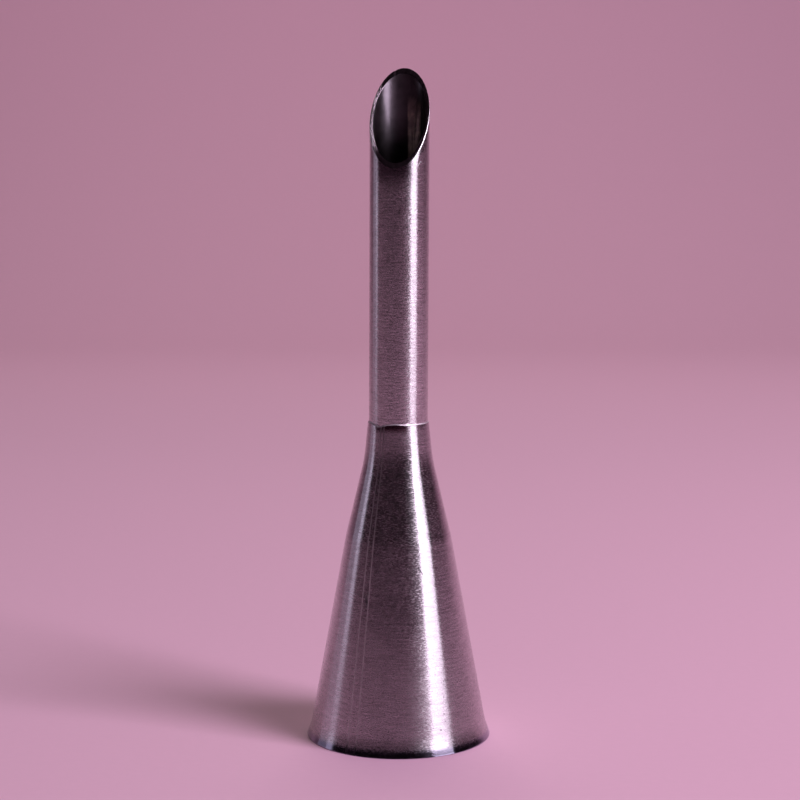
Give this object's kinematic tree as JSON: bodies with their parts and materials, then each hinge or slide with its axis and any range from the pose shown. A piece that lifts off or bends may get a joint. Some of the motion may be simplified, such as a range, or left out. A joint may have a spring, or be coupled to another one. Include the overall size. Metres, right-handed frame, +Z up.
{
  "type": "piping nozzle",
  "caption": "Long thin filling tube with a slanted tip, joined into a conical base with a flared rim, for filling pastries from a piping bag.",
  "frame": {"origin": "centre of the base's foot, on the plane that the rim stands on", "axes": "+Z up the axis towards the tip, -Y towards the low side of the slanted cut, +X to the right of someone who looks into the cut"},
  "size_m": [0.0208, 0.0207, 0.075],
  "materials": {
    "cone_steel": "spun and polished, fine rings round the axis",
    "weld_steel": "weld dressed flush, fine lines along both borders",
    "tube_steel": "brushed round the axis, raw cut at the tip",
    "braze_metal": "bright filler metal, slightly wavy edge"
  },
  "bodies": {
    "root": {"cone": "cone_steel", "seam_weld": "weld_steel", "filling_tube": "tube_steel", "joint_braze": "braze_metal"}
  },
  "joints": []
}
